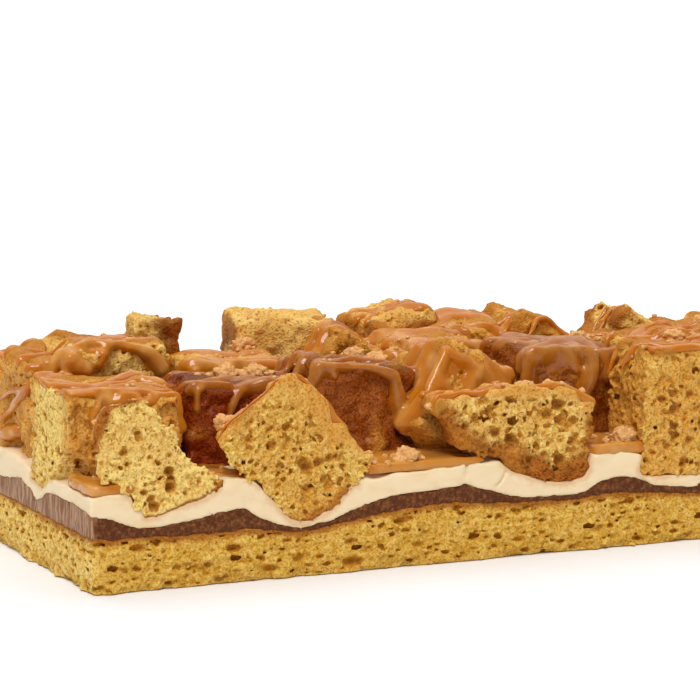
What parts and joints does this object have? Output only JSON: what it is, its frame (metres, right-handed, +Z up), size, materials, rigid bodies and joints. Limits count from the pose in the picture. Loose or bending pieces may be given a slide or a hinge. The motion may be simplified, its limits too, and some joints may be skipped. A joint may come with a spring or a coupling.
{
  "type": "speculoos cake",
  "caption": "Rectangular strip of layered sponge cake: flat sponge base, dark spiced filling, cream, and a heap of torn sponge chunks under strands of caramel.",
  "frame": {"origin": "centre of the flat underside of the strip", "axes": "+X along the strip, +Y from the front cut face to the back, +Z up"},
  "size_m": [0.285, 0.11, 0.0691],
  "materials": {
    "base_sponge": "porous baked sponge with a thin browned skin on top and underneath",
    "dark_filling": "dense spiced biscuit and coffee filling, slightly damp",
    "cream": "smooth soft cream with streaks of the knife",
    "chunk_sponge": "torn open sponge with browned crust and places soaked with caramel",
    "caramel": "thick glossy caramel",
    "biscuit_crumb": "dry spiced biscuit crumb"
  },
  "bodies": {
    "root": {"sponge_base": "base_sponge", "dark_filling": "dark_filling", "cream": "cream", "sponge_chunk_front_1": "chunk_sponge", "sponge_chunk_front_2": "chunk_sponge", "sponge_chunk_front_3": "chunk_sponge", "sponge_chunk_front_4": "chunk_sponge", "sponge_chunk_front_5": "chunk_sponge", "sponge_chunk_front_6": "chunk_sponge", "sponge_chunk_second_1": "chunk_sponge", "sponge_chunk_second_2": "chunk_sponge", "sponge_chunk_second_3": "chunk_sponge", "sponge_chunk_second_4": "chunk_sponge", "sponge_chunk_second_5": "chunk_sponge", "sponge_chunk_second_6": "chunk_sponge", "sponge_chunk_second_7": "chunk_sponge", "sponge_chunk_second_8": "chunk_sponge", "sponge_chunk_third_1": "chunk_sponge", "sponge_chunk_third_2": "chunk_sponge", "sponge_chunk_third_3": "chunk_sponge", "sponge_chunk_third_4": "chunk_sponge", "sponge_chunk_third_5": "chunk_sponge", "sponge_chunk_third_6": "chunk_sponge", "sponge_chunk_third_7": "chunk_sponge", "sponge_chunk_third_8": "chunk_sponge", "sponge_chunk_third_9": "chunk_sponge", "sponge_chunk_back_1": "chunk_sponge", "sponge_chunk_back_2": "chunk_sponge", "sponge_chunk_back_3": "chunk_sponge", "sponge_chunk_back_4": "chunk_sponge", "sponge_chunk_back_5": "chunk_sponge", "sponge_chunk_back_6": "chunk_sponge", "sponge_chunk_back_7": "chunk_sponge", "sponge_chunk_back_8": "chunk_sponge", "sponge_chunk_back_9": "chunk_sponge"}
  },
  "joints": []
}
